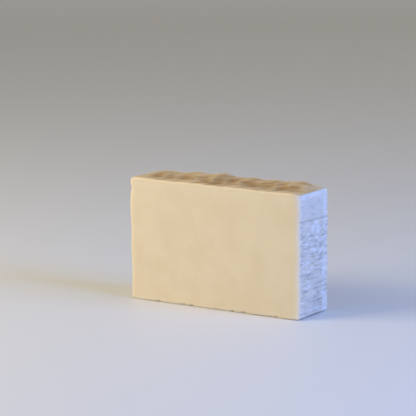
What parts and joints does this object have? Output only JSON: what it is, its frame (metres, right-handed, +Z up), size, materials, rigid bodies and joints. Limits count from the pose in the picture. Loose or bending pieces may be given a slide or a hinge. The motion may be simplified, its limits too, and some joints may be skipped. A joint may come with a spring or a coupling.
{
  "type": "bar of soap",
  "caption": "Hand-cut rectangular bar of soap with two flat cut faces, softly rounded edges, liner-pressed ends and a wavy poured top.",
  "frame": {"origin": "middle of the base, the long narrow face that the bar stands on", "axes": "+X along the bar, +Y through the slice from the front cut face to the back one, +Z up to the poured top"},
  "size_m": [0.0907, 0.025, 0.0577],
  "materials": {
    "soap": "cream soap with a waxy satin surface, tan on the poured top"
  },
  "bodies": {
    "root": {"soap_bar": "soap"}
  },
  "joints": []
}
